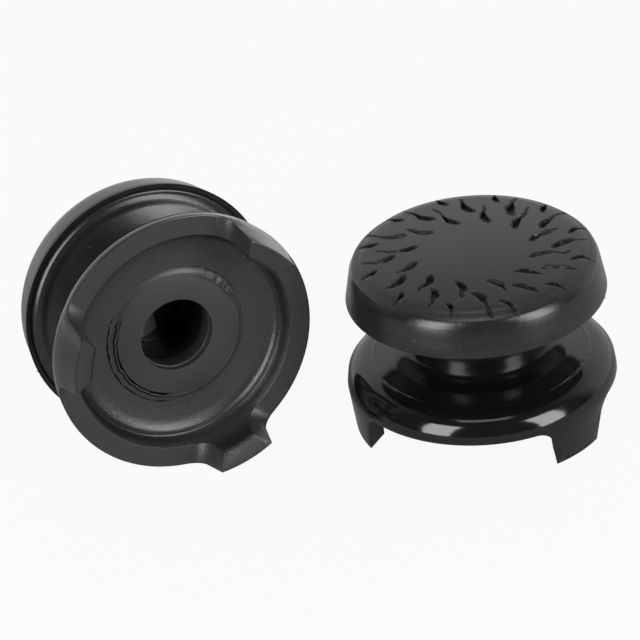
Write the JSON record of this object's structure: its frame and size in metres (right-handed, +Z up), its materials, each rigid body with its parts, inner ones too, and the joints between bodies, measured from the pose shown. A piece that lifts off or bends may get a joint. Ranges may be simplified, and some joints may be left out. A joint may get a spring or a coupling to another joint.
{
  "type": "thumbstick grip caps",
  "caption": "Clip-on grip caps for game controller thumbsticks: soft slotted tops on hard clawed bases, a matched pair.",
  "frame": {"origin": "on the floor, under the middle of the pair's bounding box", "axes": "+Z up, +X from the cap that lies on its side towards the cap that stands on its claws"},
  "size_m": [0.0458, 0.021, 0.021],
  "materials": {
    "soft_grip": "matt",
    "hard_base": "gloss"
  },
  "bodies": {
    "root": {"upright_grip_top": "soft_grip", "upright_clip_base": "hard_base", "lying_grip_top": "soft_grip", "lying_clip_base": "hard_base"}
  },
  "joints": []
}
